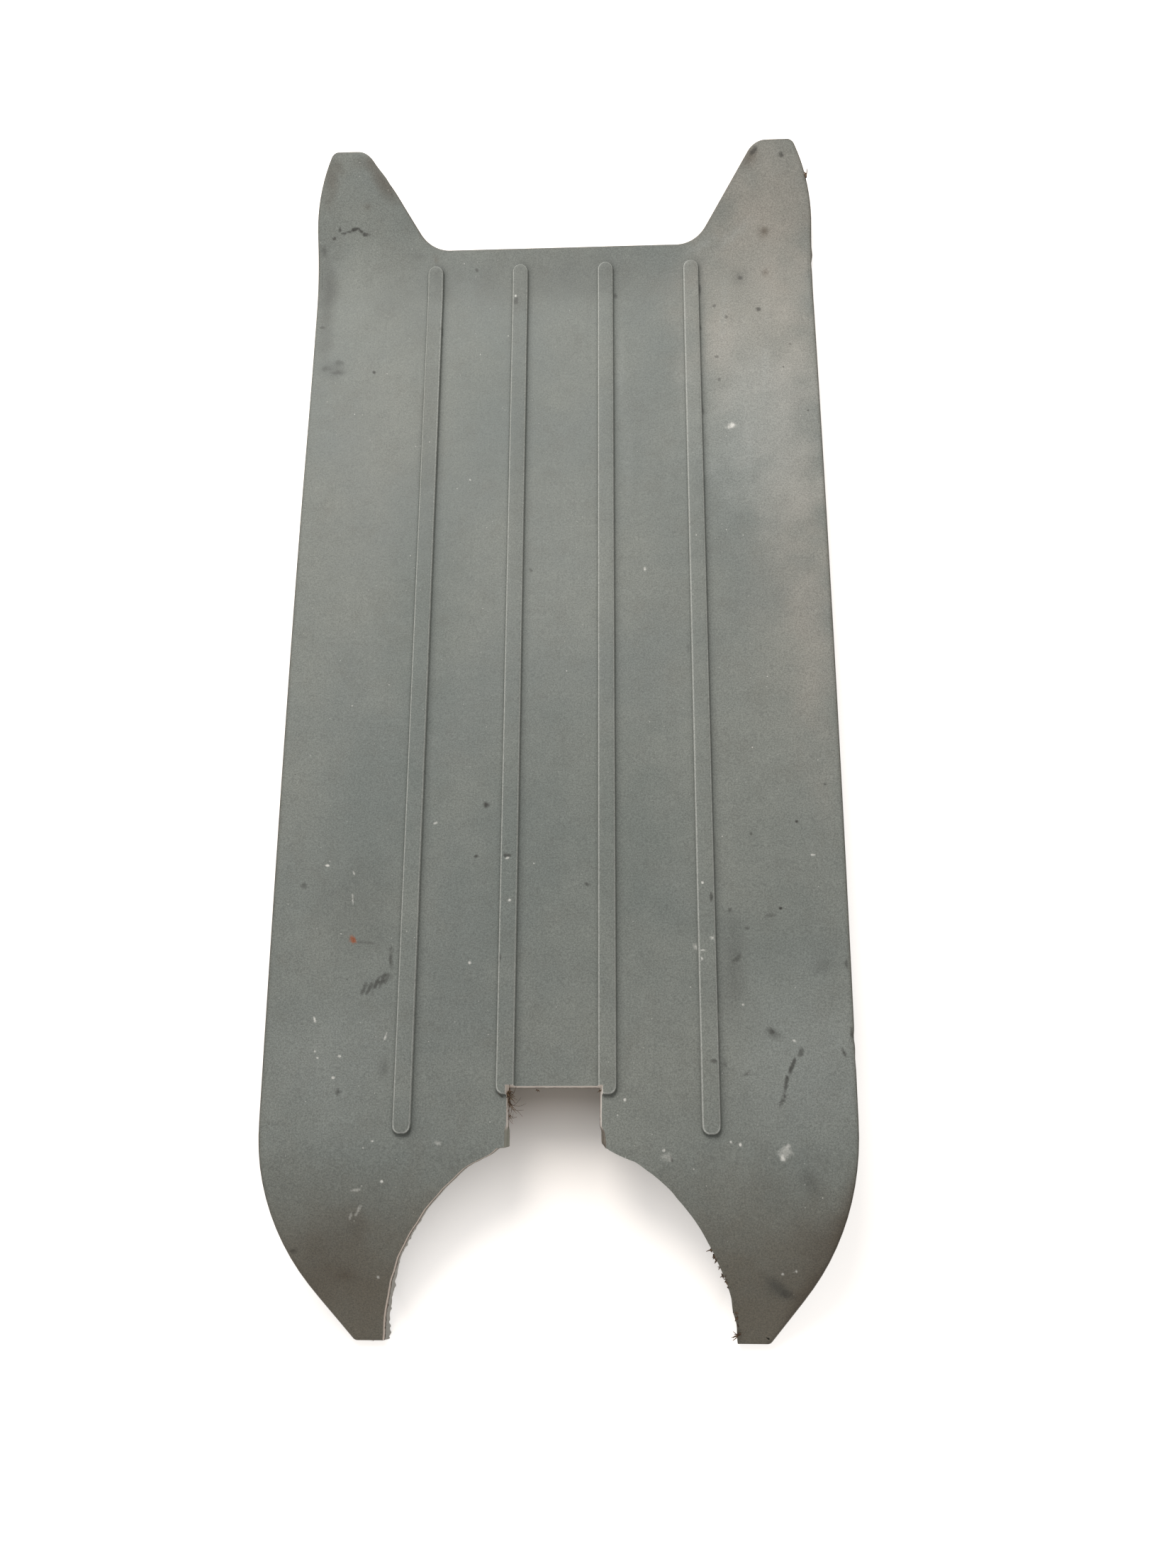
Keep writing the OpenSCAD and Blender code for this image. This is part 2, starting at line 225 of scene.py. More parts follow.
SMALL_MARKS = [
    (DIRT, (
        (-115.2, 250.8, 0.9, 1.3, 0, 0.7), (-113.4, 249.1, 1.5, 0.7, 0, 0.7),
        (-110.4, 249.8, 2.4, 0.7, 10, 0.65), (-107.2, 250.8, 2.2, 0.8, 5, 0.85),
        (-104.3, 249.9, 1.7, 0.8, -30, 0.85), (-101.6, 248.3, 1.9, 0.9, 0, 0.75),
        (-118.3, 246.8, 1.1, 1.0, 0, 0.8), (-124, 240.6, 2.2, 3.4, 0, 0.4),
        (-95.2, 171.4, 0.8, 0.9, 0, 0.8), (-113.7, 177.3, 2.6, 1.7, 0, 0.4),
        (-120.8, 174.5, 2.6, 1.6, 0, 0.4), (-113.8, 171.8, 3.2, 1.3, 0, 0.4),
        (-61.8, 193.9, 0.9, 1.8, 0, 0.8), (-44.6, 229, 0.9, 1.0, 0, 0.6), (-23.9, 210.2, 1.3, 1.8, 0, 0.5),
        (-123.8, 198.4, 2.4, 0.7, 0, 0.45), (111.3, 278.8, 1.3, 1.2, 0, 0.7),
        (97.3, 280.8, 2.6, 1.1, 42, 0.7), (90.7, 221.4, 1.3, 1.2, 0, 0.6), (99.4, 202.9, 1.6, 1.3, 0, 0.7),
        (77.1, 205.6, 0.9, 1.1, 0, 0.5), (82.9, 199, 0.9, 1.2, 0, 0.5), (26.8, 213.2, 0.9, 1.0, 0, 0.8),
        (114.7, 182.2, 1.0, 0.8, 0, 0.6), (77.6, 176, 1.0, 0.9, 0, 0.5), (78.5, 163, 1.0, 1.0, 0, 0.5),
        (110.6, 169.2, 0.5, 0.5, 0, 0.9), (121.7, 144.3, 0.5, 0.6, 0, 0.9), (69.9, 215.6, 0.8, 2.6, 0, 0.7),
        (69.9, 192.8, 0.7, 1.3, 0, 0.8), (70.1, 145.3, 0.9, 1.3, 0, 0.8), (98.2, -102.1, 1.1, 0.7, 10, 1.0),
        (106.9, -63.1, 0.7, 0.6, 0, 0.9), (86.4, -68.7, 0.7, 0.9, 0, 0.7), (83, -110.7, 1.2, 1.1, 0, 0.6),
        (76, -103, 1.0, 1.1, 0, 0.5), (78.5, -124.1, 3.6, 1.3, 40, 0.45), (93.6, -105.4, 2.6, 0.9, 10, 0.4),
        (92, -155, 1.7, 1.5, -40, 0.6), (104.2, -164, 1.2, 2.6, -22, 0.6),
        (100.2, -169.8, 1.0, 4.2, -25, 0.75), (97.3, -177, 1.0, 4.2, -10, 0.7),
        (95.8, -183.6, 0.9, 2.6, -25, 0.5), (126.3, -155.9, 0.9, 3.0, 0, 0.8),
        (122.3, -163.8, 0.7, 2.2, 18, 0.7), (125.4, -126.1, 0.9, 1.8, 0, 0.6),
        (71.5, -168.1, 2.2, 1.1, 0, 0.6), (67.4, -167.4, 1.4, 1.0, 0, 0.6), (67.8, -96.9, 0.7, 2.0, 0, 0.7),
        (120.5, -46, 1.1, 0.6, 0, 0.6), (81.4, -172.5, 2.6, 0.8, 40, 0.4), (-33.1, -54.4, 1.5, 1.3, 0, 0.9),
        (-36.9, -78, 0.9, 0.8, 0, 0.8), (-22.9, -77.9, 1.9, 1.0, 0, 0.7), (-25, -123.8, 0.6, 1.7, 0, 0.7),
        (-92.4, -132.6, 0.6, 0.5, 0, 0.9), (-114.4, -91, 1.5, 1.2, 0, 0.5),
        (-73.3, -123.6, 1.1, 6.2, 4, 0.65), (-84.6, -136.6, 1.0, 2.8, -22, 0.6),
        (-82.1, -136.2, 1.0, 3.4, -22, 0.65), (-79.5, -134.9, 1.0, 4.2, -22, 0.7),
        (-76.8, -133, 0.9, 4.4, -20, 0.65), (-74.6, -131.4, 0.8, 3.8, -16, 0.5),
        (-85, -116.5, 4.0, 0.8, -5, 0.35), (48.6, -207.1, 0.6, 1.6, 20, 0.7),
        (92.8, -260, 8.5, 2.4, -38, 0.15), (96.6, -263.2, 2.6, 1.6, -20, 0.3),
        (-93.5, -180.2, 1.5, 1.2, 0, 0.6), (13, -91, 1.2, 1.0, 0, 0.6), (60.2, 20, 0.8, 1.0, 0, 0.6),
        (-14, 61, 0.8, 0.9, 0, 0.6),
    )),
    (DUST, (
        (84, 136.8, 2.1, 1.6, 0, 1.0), (-24.1, 213.2, 0.7, 0.8, 0, 0.9), (-104.1, -81.9, 0.9, 0.5, 0, 1.0),
        (-103.1, -79.9, 0.4, 0.4, 0, 0.9), (-91.7, -97.3, 0.4, 1.9, 8, 0.6),
        (-91.8, -85.4, 0.4, 1.1, 25, 0.6), (-38.4, -125.4, 0.6, 0.9, 15, 0.9),
        (-61.3, -128.4, 0.5, 0.5, 0, 1.0), (-22.6, -79.1, 0.9, 0.4, 20, 0.7),
        (-105.7, -149.6, 0.5, 1.3, 20, 0.8), (-74.3, -157.4, 0.6, 1.9, -18, 0.7),
        (-104.7, -163.3, 0.5, 0.5, 0, 0.9), (-103.3, -166.1, 0.5, 0.5, 0, 0.9),
        (-93.8, -165.5, 0.7, 0.5, 0, 0.8), (-96, -174.4, 0.7, 0.5, 0, 0.9),
        (-55.8, -62.6, 1.0, 0.5, 20, 0.6), (-70.4, -66.3, 0.5, 0.5, 0, 0.9),
        (-21.3, -98.1, 0.6, 0.5, 0, 0.8), (113.5, -78.3, 1.1, 0.4, 5, 0.8),
        (101.7, -158.9, 0.9, 0.4, -30, 0.8), (80.5, -143.8, 0.5, 0.5, 0, 0.8),
        (67.8, -115.1, 1.3, 0.9, 15, 0.75), (60.6, -118.6, 0.8, 0.8, 0, 0.9),
        (63, -120.4, 2.2, 0.4, 0, 0.6), (63, -124, 0.7, 0.7, 0, 0.9), (64.1, -90.6, 0.5, 0.5, 0, 1.0),
        (69.7, -149.5, 0.5, 0.9, 0, 0.7), (77.3, -201.4, 0.6, 0.7, 0, 1.0),
        (73.5, -200.3, 0.5, 0.5, 0, 0.9), (95.1, -206.6, 1.2, 1.4, 0, 0.9), (96, -204.6, 3.4, 2.6, 25, 0.4),
        (97.4, -202, 1.6, 0.8, 30, 0.4), (45.4, -203.8, 0.6, 0.6, 0, 0.8),
        (46.8, -206.4, 2.4, 1.6, -20, 0.3), (94.6, -254.4, 0.6, 0.6, 0, 0.9),
        (100.2, -253.1, 0.5, 0.6, 0, 0.9), (29.2, -183.4, 0.6, 0.6, 0, 1.0),
        (-73.4, -216.8, 0.6, 0.6, 0, 1.0), (-84.6, -220.3, 2.2, 0.6, 10, 0.4),
        (-83.4, -229.1, 0.7, 2.6, -25, 0.35), (-86.5, -230.7, 0.5, 1.6, -20, 0.35),
        (-76, -257, 0.6, 0.6, 0, 0.8), (-77.7, -200.4, 0.6, 0.5, 0, 0.7),
        (-49.6, -200.9, 1.5, 1.0, 0, 0.35), (40.4, 61, 0.6, 0.9, 0, 0.8), (-45, 110, 0.5, 0.5, 0, 0.8),
        (18, 132, 0.5, 0.5, 0, 0.8),
    )),
    (RUST, ((-90.5, -115.1, 1.3, 2.1, 25, 1.0),)),
]


# ---------------------------------------------------------------- form of the sheet

def bent_z(y, h):
    """Height of the surface that runs h above the underside, at plan place y."""
    y, h = np.broadcast_arrays(np.asarray(y, float), np.asarray(h, float))
    back, ahead = -y, y - FLAT_LEN
    tail_r, nose_r = TAIL_UNDER_R + h, NOSE_UNDER_R - h
    tail_end, nose_end = tail_r * math.sin(TAIL_ANGLE), nose_r * math.sin(NOSE_ANGLE)
    return np.select(
        [back > tail_end, back > 0, ahead < 0, ahead < nose_end],
        [
            tail_r * math.cos(TAIL_ANGLE) - TAIL_UNDER_R - (back - tail_end) * math.tan(TAIL_ANGLE),
            np.sqrt(np.maximum(tail_r ** 2 - back ** 2, 0)) - TAIL_UNDER_R,
            h,
            NOSE_UNDER_R - np.sqrt(np.maximum(nose_r ** 2 - ahead ** 2, 0)),
        ],
        NOSE_UNDER_R - nose_r * math.cos(NOSE_ANGLE) + (ahead - nose_end) * math.tan(NOSE_ANGLE),
    )


def height_of(y, z):
    """Height above the underside of the sheet, for places in the side view."""
    down, over_tail = -y, z + TAIL_UNDER_R
    ahead, under_nose = y - FLAT_LEN, NOSE_UNDER_R - z
    tail_a, nose_a = np.arctan2(down, over_tail), np.arctan2(ahead, under_nose)
    return np.select(
        [tail_a > TAIL_ANGLE, tail_a > 0, nose_a < 0, nose_a < NOSE_ANGLE],
        [
            down * math.sin(TAIL_ANGLE) + over_tail * math.cos(TAIL_ANGLE) - TAIL_UNDER_R,
            np.hypot(down, over_tail) - TAIL_UNDER_R,
            z,
            NOSE_UNDER_R - np.hypot(ahead, under_nose),
        ],
        NOSE_UNDER_R - ahead * math.sin(NOSE_ANGLE) - under_nose * math.cos(NOSE_ANGLE),
    )


def at_rest(points):
    """Places of the mat at rest in metres, from places in the frame of its flat middle."""
    x, y, z = points.T
    c, s = math.cos(PITCH), math.sin(PITCH)
    return np.c_[x, y * c + z * s - MID_Y, np.maximum(z * c - y * s + REST_Z, 0)] * MM


def from_rest(x, y, z):
    """Place in the frame of the flat middle, from a place of the mat at rest in millimetres."""
    c, s = math.cos(PITCH), math.sin(PITCH)
    return x, (y + MID_Y) * c - (z - REST_Z) * s, (y + MID_Y) * s + (z - REST_Z) * c


def arc(cx, cy, r, a0, a1, step=ARC_STEP):
    """Points on an arc, between two angles in degrees."""
    n = max(2, math.ceil(abs(a1 - a0) / step))
    turn = np.radians(np.linspace(a0, a1, n + 1))
    return [(cx + r * c, cy + r * s) for c, s in zip(np.cos(turn), np.sin(turn))]


def mat_plan(s):
    """Closed outline of the moulding, inset by s. Every inset has the same number of points."""
    flank, tail = math.radians(GAP_FLANK), math.radians(TAIL_SIDE)
    tail_cx = END_HALF_W - TAIL_SIDE_R
    tail_end = (tail_cx + TAIL_SIDE_R * math.cos(tail), TAIL_SIDE_LEAD - TAIL_SIDE_R * math.sin(tail))
    tip_x = tail_end[0] - (tail_end[1] + TAIL_RUN) * math.tan(tail)
    tip_c = (tip_x - TIP_CORNER_R * math.tan(math.radians(90 - TAIL_SIDE) / 2), TIP_CORNER_R - TAIL_RUN)
    side_cx, side_cy = END_HALF_W - HORN_SIDE_R, HORN_Y - HORN_OUTER_R - HORN_RISE
    half_l = (side_cy - TAIL_SIDE_LEAD) / 2
    bow_r = (half_l ** 2 + SIDE_BOW ** 2) / (2 * SIDE_BOW)
    bow_a = math.degrees(math.asin(half_l / bow_r))
    side_a = math.asin(HORN_RISE / (HORN_SIDE_R - HORN_OUTER_R))
    reach = HORN_SIDE_R - HORN_OUTER_R
    outer_c = (side_cx + reach * math.cos(side_a), side_cy + reach * math.sin(side_a))
    side_a = math.degrees(side_a)
    inner_c = (
        GAP_HALF + (HORN_LEN - HORN_INNER_R) / math.tan(flank) + HORN_INNER_R / math.sin(flank),
        HORN_Y - HORN_INNER_R,
    )
    gap_c = (GAP_HALF - GAP_CORNER_R * math.tan(flank / 2), FRONT_Y + GAP_CORNER_R)
    half = (
        [(0.0, FRONT_Y - s)]
        + arc(*gap_c, GAP_CORNER_R + s, -90, GAP_FLANK - 90)
        + arc(*inner_c, HORN_INNER_R - s, GAP_FLANK + 90, 90)
        + arc(*outer_c, HORN_OUTER_R - s, 90, side_a)
        + arc(side_cx, side_cy, HORN_SIDE_R - s, side_a, 0)
        + arc(HALF_W - bow_r, side_cy - half_l, bow_r - s, bow_a, -bow_a, bow_a / 8)[1:-1]
        + arc(tail_cx, TAIL_SIDE_LEAD, TAIL_SIDE_R - s, 0, -TAIL_SIDE)
        + arc(*tip_c, TIP_CORNER_R - s, -TAIL_SIDE, -90)
        + [(0.0, s - TAIL_RUN)]
    )
    return np.array(half + [(-x, y) for x, y in half[-2:0:-1]])


def rib_plan(x, back, s):
    """Closed outline of a rib, inset by s: round in front, with two rounded corners at the tail end."""
    half = RIB_W / 2
    corner = half - RIB_CORNER_R
    return np.array(
        arc(x, FRONT_Y - RIB_FRONT_GAP - half, half - s, 180, 0, 10)
        + arc(x + corner, back + RIB_CORNER_R, RIB_CORNER_R - s, 0, -90, 15)
        + arc(x - corner, back + RIB_CORNER_R, RIB_CORNER_R - s, -90, -180, 15)
    )


RIBS = [
    ((i - (RIB_COUNT - 1) / 2) * RIB_PITCH, OUTER_RIB_BACK if i in (0, RIB_COUNT - 1) else INNER_RIB_BACK)
    for i in range(RIB_COUNT)
]


def even_steps(loop, step, lead):
    """The loop with each side split into equal steps, as many as the lead loop's side needs."""
    parts = []
    for i in range(len(loop)):
        j = (i + 1) % len(loop)
        n = max(1, round(math.dist(lead[i], lead[j]) / step))
        t = np.arange(n)[:, None] / n
        parts.append(loop[i] * (1 - t) + loop[j] * t)
    return np.concatenate(parts)


def inside(points, loop):
    """Which points lie inside a closed loop."""
    x, y = points[:, 0], points[:, 1]
    hit = np.zeros(len(points), bool)
    for (x0, y0), (x1, y1) in zip(loop, np.roll(loop, -1, axis=0)):
        if y0 != y1:
            hit ^= ((y0 > y) != (y1 > y)) & (x < (x1 - x0) * (y - y0) / (y1 - y0) + x0)
    return hit


def mark_points(h):
    """Plan points for a finer mesh under the small marks, on the face at height h of the flat middle."""
    points = []
    for _, marks in SMALL_MARKS:
        for x, y, half_x, half_y, turn, _ in marks:
            finest, coarsest = MARK_STEPS
            step = min(coarsest, max(finest, min(half_x, half_y) * 0.5))
            reach_x, reach_y = MARK_REACH * half_x + step, MARK_REACH * half_y + step
            c, s = math.cos(math.radians(turn)), math.sin(math.radians(turn))
            plan = y
            for _ in range(4):  # settles, because the sheet bends little over one mark
                plan = (y + MID_Y - float(bent_z(plan, h)) * math.sin(PITCH)) / math.cos(PITCH)
            points += [
                (x + u * c - v * s, plan + u * s + v * c)
                for u in np.arange(-reach_x, reach_x + step / 2, step)
                for v in np.arange(-reach_y, reach_y + step / 2, step)
            ]
    return points


def smooth(value, low, high):
    """Smooth step from 0 at low to 1 at high."""
    t = np.clip((value - low) / (high - low), 0, 1)
    return t * t * (3 - 2 * t)


def blotches(points, size):
    """Unevenness of about the given size in millimetres, at each point."""
    return np.array([
        noise.noise(Vector((x / size, y / size, 3.3)))
        + 0.5 * noise.noise(Vector((y / size, x / size, 8.1)) * 2.3)
        for x, y, _ in points
    ])


def paint(points, wide, close):
    """Colour and cover of the marks at places at rest. Wide and close unevenness wander their borders."""
    x, y = points[:, 0], points[:, 1]
    colour, cover = np.zeros((len(points), 3)), np.zeros(len(points))
    for groups, uneven, (wander, soft) in ((STAINS, wide, STAIN_EDGE), (SMALL_MARKS, close, MARK_EDGE)):
        for tint, marks in groups:
            for at_x, at_y, half_x, half_y, turn, strength in marks:
                c, s = math.cos(math.radians(turn)), math.sin(math.radians(turn))
                u, v = (x - at_x) * c + (y - at_y) * s, (y - at_y) * c - (x - at_x) * s
                far = np.hypot(u / half_x, v / half_y) / MARK_SPREAD + uneven * wander
                share = strength * (1 - smooth(far, 1 - soft, 1))
                colour = colour * (1 - share)[:, None] + share[:, None] * np.array(tint[:3])
                cover = cover * (1 - share) + share
    return colour, cover


class Shell:
    """Collects the rings and fills of a closed skin. Points are plan x, plan y and height."""

    def __init__(self):
        self.points, self.faces = [], []

    def add(self, plan, h):
        first = len(self.points)
        self.points += [(x, y, h) for x, y in plan]
        return list(range(first, len(self.points)))

    def join(self, lower, upper):
        n = len(lower)
        self.faces += [(lower[i], lower[(i + 1) % n], upper[(i + 1) % n], upper[i]) for i in range(n)]

    def fill(self, outer, holes, step, h, up=True, extra=()):
        """Triangles on a staggered grid and extra points between the outer ring and the holes' rings."""
        rings = [outer] + holes
        loops = [np.array([self.points[i][:2] for i in ring]) for ring in rings]
        low, high = loops[0].min(0), loops[0].max(0)
        rows = np.arange(low[1], high[1], step * math.sqrt(3) / 2)
        coarse = [
            (x + (k % 2) * step / 2, y)
            for k, y in enumerate(rows) for x in np.arange(low[0], high[0], step)
        ]
        grid = np.array(coarse + list(extra))
        gaps = np.r_[np.full(len(coarse), step * 0.6), np.full(len(extra), FINE_GAP)]
        keep = inside(grid, loops[0])
        for loop in loops[1:]:
            keep &= ~inside(grid, loop)
        border = np.concatenate(loops)
        tree = kdtree.KDTree(len(border))
        for i, (x, y) in enumerate(border):
            tree.insert((x, y, 0), i)
        tree.balance()
        clear = [tree.find((x, y, 0))[2] > gap for (x, y), gap in zip(grid, gaps)]
        grid = grid[keep & np.array(clear)]
        ids = sum(rings, []) + self.add(grid, h)
        edges, first = [], 0
        for loop in loops:
            n = len(loop)
            edges += [(first + i, first + (i + 1) % n) for i in range(n)]
            first += n
        flat = [Vector(p) for p in np.concatenate([border, grid])]
        verts, _, faces, origin, _, _ = delaunay_2d_cdt(flat, edges, [], 0, 1e-7)
        centres = np.array([sum((verts[i] for i in f), Vector((0, 0))) / len(f) for f in faces])
        keep = inside(centres, loops[0])
        for loop in loops[1:]:
            keep &= ~inside(centres, loop)
        for f, good in zip(faces, keep):
            if good:
                face = tuple(ids[origin[i][0]] for i in f)
                self.faces.append(face if up else face[::-1])

    def mesh(self, name):
        p = np.array(self.points)
        drift = TAIL_DRIFT * smooth(-p[:, 1], 0, TAIL_RUN)
        for x, y, shift_x, shift_y, reach in DENTS:
            near = np.exp(-((p[:, 0] - x) ** 2 + (p[:, 1] - y) ** 2) / reach ** 2)
            p[:, :2] += near[:, None] * (shift_x, shift_y)
        bent = np.c_[p[:, 0] + drift, p[:, 1], bent_z(p[:, 1], p[:, 2])]
        out = bpy.data.meshes.new(name)
        out.from_pydata(bent.tolist(), [], self.faces)
        return out


def quarter(a0, a1, n):
    """Angles in radians, evenly between two angles in degrees."""
    return np.radians(np.linspace(a0, a1, n))


def moulding():
    """The whole sheet with its ribs, before the bay is cut."""
    shell = Shell()
    lead = mat_plan(0)

    def rim(s, h):
        return shell.add(even_steps(mat_plan(s), LINE_STEP, lead), h)

    under = [rim(EDGE_R - EDGE_R * math.cos(a), EDGE_R + EDGE_R * math.sin(a)) for a in quarter(-90, 0, 5)]
    over = [
        rim(EDGE_R - EDGE_R * math.cos(a), SHEET_T - EDGE_R + EDGE_R * math.sin(a)) for a in quarter(0, 90, 5)
    ]
    rings = under + over
    inner = rim(2.2 * EDGE_R, SHEET_T)
    for low, high in zip(rings, rings[1:] + [inner]):
        shell.join(high, low)

    feet = []
    for x, back in RIBS:
        first = rib_plan(x, back, 0)

        def ring(s, h):
            return shell.add(even_steps(rib_plan(x, back, s), LINE_STEP, first), SHEET_T + h)

        wall = [ring(-RIB_FOOT_R - spread, 0) for spread in FOOT_RINGS]
        wall += [
            ring(RIB_FOOT_R * (math.sin(a) - 1), RIB_FOOT_R * (1 - math.cos(a))) for a in quarter(0, 90, 4)
        ]
        wall += [
            ring(RIB_DRAFT + RIB_EDGE_R * (1 - math.cos(a)), RIB_H - RIB_EDGE_R + RIB_EDGE_R * math.sin(a))
            for a in quarter(0, 90, 5)
        ]
        for low, high in zip(wall, wall[1:]):
            shell.join(high, low)
        shell.fill(wall[-1], [], RIB_STEP, SHEET_T + RIB_H, extra=mark_points(SHEET_T + RIB_H))
        feet.append(wall[0])
    shell.fill(inner, feet, TOP_STEP, SHEET_T, extra=mark_points(SHEET_T))
    shell.fill(rings[0], [], UNDER_STEP, 0.0, up=False)
    return shell.mesh("moulding")


# ---------------------------------------------------------------- the hand-cut bay

def cut_path():
    """Plan of the cut on the top face, from the right tip round the crown to the left tip."""
    centre_y = -BAY_CROWN - BAY_HALF_L
    sides = []
    for way in (1, -1):
        wall_x = way * NOTCH_HALF - NOTCH_OFF
        crown = math.acos(abs(wall_x) / BAY_HALF_W)
        oval = [
            (way * BAY_HALF_W * math.cos(a), centre_y + BAY_HALF_L * math.sin(a))
            for a in np.linspace(0, crown, 60)
        ]
        sides.append([(way * BAY_HALF_W, -TAIL_RUN - OVER)] + oval + [(wall_x, NOTCH_DEPTH)])
    corners = sides[0] + sides[1][::-1]
    path = []
    for a, b in zip(corners, corners[1:]):
        n = max(1, round(math.dist(a, b) / CUT_STEP))
        path += [(a[0] + (b[0] - a[0]) * i / n, a[1] + (b[1] - a[1]) * i / n) for i in range(n)]
    return np.array(path + corners[-1:])


def wavy(values, scale, row):
    """Smooth unevenness along a run. Each row is another pattern."""
    return np.array([noise.noise(Vector((v / scale, row, 0.5))) for v in values])


def stray_of_knife(path, run, in_notch):
    """How far the knife strays from its path, with the shoulders that it left on the crown of the bay."""
    x, side = np.abs(path[:, 0]), np.abs(path[:, 0] + NOTCH_OFF)
    knots = np.random.default_rng(KNIFE_SEED).uniform(-KINK_REACH, KINK_REACH, KINK_COUNT)
    kinks = np.interp(run, np.linspace(0, run[-1], KINK_COUNT), knots)
    stray = (0.25 * wavy(run, 21, 1.0) + 0.09 * wavy(run, 4, 2.0) + kinks) * (1 - 0.75 * in_notch)
    shoulder = CROWN_SHOULDER * smooth(x, 22, 44) * (1 - smooth(x, 60, 76))
    by_notch = np.where(path[:, 0] < 0, *NOTCH_SHOULDERS)
    by_notch = by_notch * smooth(side, NOTCH_HALF, 24) * (1 - smooth(side, 32, 50))
    return stray + (shoulder + by_notch) * (path[:, 1] < 0)


def torn_lip(path, run, in_notch):
    """Reach of the rubber torn at the foot of the cut, with a ragged ledge towards the left tip."""
    left = path[:, 0] < 0
    rear = 1 - smooth(path[:, 1], *TORN_SPAN)
    torn = np.maximum(wavy(run, 1.9, 3.0) + 0.55 * wavy(run, 0.9, 4.0) - 0.05, 0) * (0.25 + 1.25 * rear)
    torn *= (1 - 0.8 * in_notch) * np.where(left, 1, 0.35 * rear)
    ragged = 0.75 + 0.9 * wavy(run, 5.5, 7.0) + 0.6 * wavy(run, 1.7, 9.0)
    return torn + left * (1 - smooth(path[:, 1], *LEDGE_SPAN)) * np.maximum(ragged, 0)


def cutter():
    """Solid with the knife's uneven walls, leaning as the cut faces do."""
    path = cut_path()
    step = np.gradient(path, axis=0)
    step /= np.linalg.norm(step, axis=1)[:, None]
    away = np.c_[step[:, 1], -step[:, 0]]
    run = np.concatenate([[0], np.cumsum(np.linalg.norm(np.diff(path, axis=0), axis=1))])
    left = path[:, 0] < 0
    beside = np.abs(path[:, 0] + NOTCH_OFF) - NOTCH_HALF
    crown_y = path[np.abs(beside) < 0.01, 1].min()
    in_notch = smooth(path[:, 1], crown_y, crown_y + 3) * (beside < 0.5)
    corner = np.minimum.reduce([np.hypot(beside, path[:, 1] - y) for y in (NOTCH_DEPTH, crown_y)])
    calm = smooth(corner, 0, 4)
    stray, torn = stray_of_knife(path, run, in_notch), torn_lip(path, run, in_notch)

    # At its mouth the notch was cut again: the walls shift sideways and their corners forwards
    mouth = np.where(beside < 0.01, 1 - smooth(path[:, 1], *MOUTH_END), 1 - smooth(beside, 0, 4))
    mouth_top = np.where(left, -0.6, 0.5 + 1.2 * (1 - smooth(path[:, 1], -2, 8))) * mouth
    mouth_foot = np.where(left, 0.4, 0.6) * mouth
    rise = np.where(left, *CORNER_RISE) * (1 - smooth(beside, 0, 7)) * (1 - smooth(path[:, 1], crown_y, 8))

    points, n = [], len(path)
    for h in KNIFE_LEVELS:
        off = stray - torn * (1 - smooth(h, 0.0, TORN_TOP))
        off += 0.05 * wavy(run, 2.5, 5.0 + h) * smooth(h, 0.5, 1.0)
        plan = path + away * (off * calm)[:, None]
        narrower = (SHEET_T - h) * NOTCH_LEAN * in_notch
        plan[:, 0] -= (plan[:, 0] + NOTCH_OFF) / NOTCH_HALF * narrower
        plan[:, 1] -= np.clip(plan[:, 1] / NOTCH_DEPTH, 0, 1) * narrower
        plan[:, 0] += (SHEET_T - h) * BAY_LEAN * (1 - in_notch)
        plan[:, 0] += mouth_foot + (mouth_top - mouth_foot) * smooth(h, 0.2, 3.6)
        plan[:, 1] += rise
        points.append(np.c_[plan, bent_z(plan[:, 1], h)])
    foot_ring, roof_ring = points[0].copy(), points[-1].copy()
    foot_ring[:, 2], roof_ring[:, 2] = -FAR_Z, FAR_Z
    points = [foot_ring] + points + [roof_ring]
    faces = [
        (j * n + i, j * n + (i + 1) % n, (j + 1) * n + (i + 1) % n, (j + 1) * n + i)
        for j in range(len(points) - 1) for i in range(n)
    ]
    last = (len(points) - 1) * n
    faces += [tuple(range(n - 1, -1, -1)), tuple(range(last, last + n))]
    out = bpy.data.meshes.new("knife")
    out.from_pydata(np.concatenate(points).tolist(), [], faces)
    return out


def show(name, mesh, materials=()):
    """Object in the scene that shows the mesh."""
    obj = bpy.data.objects.new(name, mesh)
    bpy.context.scene.collection.objects.link(obj)
    for material in materials:
        mesh.materials.append(material)
    return obj


def store(mesh, name, values):
    """Keep a value for each point under a name that the materials read."""
    mesh.attributes.new(name, "FLOAT", "POINT").data.foreach_set("value", np.asarray(values, np.float32))


def cut_moulding(moulded, cut):
    """Mesh of the moulding with the bay cut out of it. The cut faces take the second material."""
    body = show("mat_body", moulding(), [moulded, cut])
    knife = show("mat_knife", cutter(), [moulded, cut])
    knife.data.polygons.foreach_set("material_index", np.ones(len(knife.data.polygons), np.int32))
    boolean = body.modifiers.new("cut", "BOOLEAN")
    boolean.operation, boolean.solver, boolean.object = "DIFFERENCE", "EXACT", knife
    bpy.context.view_layer.update()
    graph = bpy.context.evaluated_depsgraph_get()
    mesh = bpy.data.meshes.new_from_object(body.evaluated_get(graph), depsgraph=graph)
    bpy.data.objects.remove(body)
    bpy.data.objects.remove(knife)
    mesh.name = "footboard_mat_skin"
    return mesh


